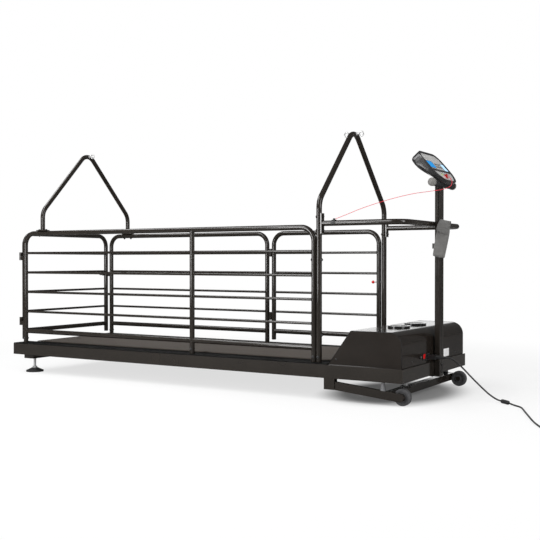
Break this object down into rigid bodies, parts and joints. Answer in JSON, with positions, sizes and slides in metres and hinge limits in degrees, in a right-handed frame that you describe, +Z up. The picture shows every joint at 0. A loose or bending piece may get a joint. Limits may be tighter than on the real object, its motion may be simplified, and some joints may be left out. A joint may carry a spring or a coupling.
{
  "type": "dog treadmill",
  "caption": "Powered dog treadmill: low belt frame in a barred tube cage with rear gate, side door, leash hoops, handrail, console mast, hooded motor and wheeled incline.",
  "frame": {"origin": "floor level under the middle of the machine's length and width", "axes": "+X along the belt towards the motor end, +Y towards the side door, +Z up"},
  "size_m": [3.1214, 1.1314, 1.254],
  "materials": {
    "frame_paint": "satin",
    "hood_paint": "satin",
    "strip": "gloss",
    "belt": "matt, fine texture",
    "deck": "matt",
    "rubber": "matt",
    "steel": "satin",
    "motor": "satin",
    "board": "matt",
    "plastic": "matt",
    "console": "semi-gloss",
    "red": "gloss",
    "red_cord": "matt",
    "grey": "matt",
    "face": "gloss",
    "screen": "gloss",
    "cloth": "matt weave",
    "cord": "matt"
  },
  "bodies": {
    "frame": {"base_frame": "frame_paint", "rail_end_caps": "plastic", "landing_strips": "strip", "deck_board": "deck", "deck_cushions": "rubber", "running_belt": "belt", "roller_axles": "steel", "motor_pan": "frame_paint", "drive_motor": "motor", "drive_belt": "rubber", "motor_controller": "board", "lift_motor": "motor", "motor_hood": "hood_paint", "hood_vents": "plastic", "switch_bezel": "plastic", "power_inlet": "plastic", "near_panel": "frame_paint", "far_panel": "frame_paint", "side_bars": "frame_paint", "front_hoop": "frame_paint", "rear_hoop": "frame_paint", "leash_eyes": "steel", "handrail": "frame_paint", "fasteners": "frame_paint", "hinge_pins": "frame_paint", "mast": "frame_paint", "console_grip": "rubber", "grip_caps": "grey", "console_back": "console", "console_face": "face", "display_lens": "screen", "tool_pouch": "cloth", "pouch_strap": "cloth", "lanyard": "red_cord", "lanyard_clip": "plastic", "cord_connector": "cord", "mains_cord": "cord", "ferrite_core": "cord", "cord_coil": "cord", "mains_plug": "cord"},
    "front_roller": {"front_roller": "steel"},
    "rear_roller": {"rear_roller": "steel"},
    "motor_rotor": {"motor_rotor": "steel"},
    "incline": {"incline_frame": "frame_paint", "incline_bumpers": "rubber"},
    "wheel_near": {"wheel_near": "rubber"},
    "wheel_far": {"wheel_far": "rubber"},
    "lift_rod": {"lift_rod": "steel"},
    "foot_near": {"foot_near": "plastic"},
    "foot_far": {"foot_far": "plastic"},
    "gate": {"rear_gate": "frame_paint", "gate_bars": "frame_paint"},
    "gate_bolt": {"gate_bolt": "steel"},
    "door": {"side_door": "frame_paint", "door_bars": "frame_paint"},
    "door_pin": {"door_pin": "steel", "door_knob": "red"},
    "power_switch": {"power_switch": "red"},
    "breaker_button": {"breaker_button": "grey"},
    "safety_key": {"safety_key": "red"}
  },
  "joints": [
    {"name": "front_roller_spin", "type": "hinge", "parent": "frame", "child": "front_roller", "pos_m": [0.844, 0, 0.1407], "axis": [0, 1, 0], "continuous": true},
    {"name": "rear_roller_spin", "type": "hinge", "parent": "frame", "child": "rear_roller", "pos_m": [-1.136, 0, 0.1407], "axis": [0, 1, 0], "continuous": true},
    {"name": "motor_spin", "type": "hinge", "parent": "frame", "child": "motor_rotor", "pos_m": [1.014, 0.1, 0.2027], "axis": [0, 1, 0], "continuous": true},
    {"name": "incline_tilt", "type": "hinge", "parent": "frame", "child": "incline", "pos_m": [0.794, 0, 0.07], "axis": [0, 1, 0], "range_deg": [0, 18]},
    {"name": "wheel_near_spin", "type": "hinge", "parent": "incline", "child": "wheel_near", "pos_m": [1.128, -0.357, 0.0375], "axis": [0, 1, 0], "continuous": true},
    {"name": "wheel_far_spin", "type": "hinge", "parent": "incline", "child": "wheel_far", "pos_m": [1.128, 0.357, 0.0375], "axis": [0, 1, 0], "continuous": true},
    {"name": "lift_rod_slide", "type": "slide", "parent": "frame", "child": "lift_rod", "axis": [0, 0, -1], "range_m": [0, 0.0833]},
    {"name": "foot_near_turn", "type": "hinge", "parent": "frame", "child": "foot_near", "pos_m": [-1.114, -0.33, 0.05], "axis": [0, 0, 1], "continuous": true},
    {"name": "foot_far_turn", "type": "hinge", "parent": "frame", "child": "foot_far", "pos_m": [-1.114, 0.33, 0.05], "axis": [0, 0, 1], "continuous": true},
    {"name": "gate_swing", "type": "hinge", "parent": "frame", "child": "gate", "pos_m": [-1.19, -0.362, 0.5], "axis": [0, 0, 1], "range_deg": [0, 110]},
    {"name": "gate_bolt_slide", "type": "slide", "parent": "gate", "child": "gate_bolt", "axis": [0, 1, 0], "range_m": [0, 0.02]},
    {"name": "door_swing", "type": "hinge", "parent": "frame", "child": "door", "pos_m": [0.026, 0.358, 0.5], "axis": [0, 0, 1], "range_deg": [0, 100]},
    {"name": "door_pin_slide", "type": "slide", "parent": "door", "child": "door_pin", "axis": [1, 0, 0], "range_m": [0, 0.01]},
    {"name": "switch_rock", "type": "hinge", "parent": "frame", "child": "power_switch", "pos_m": [1.134, -0.135, 0.193], "axis": [0, 1, 0], "range_deg": [-12, 0]},
    {"name": "breaker_press", "type": "slide", "parent": "frame", "child": "breaker_button", "axis": [-1, 0, 0], "range_m": [0, 0.003], "stiffness_N_per_m": 300},
    {"name": "key_pull", "type": "slide", "parent": "frame", "child": "safety_key", "axis": [0.7547, 0, 0.6561], "range_m": [0, 0.02]}
  ],
  "couplings": [
    {"joint": "rear_roller_spin", "follows": "front_roller_spin", "ratio": 1},
    {"joint": "motor_spin", "follows": "front_roller_spin", "ratio": 3},
    {"joint": "lift_rod_slide", "follows": "incline_tilt", "m_per_rad": 0.265}
  ]
}
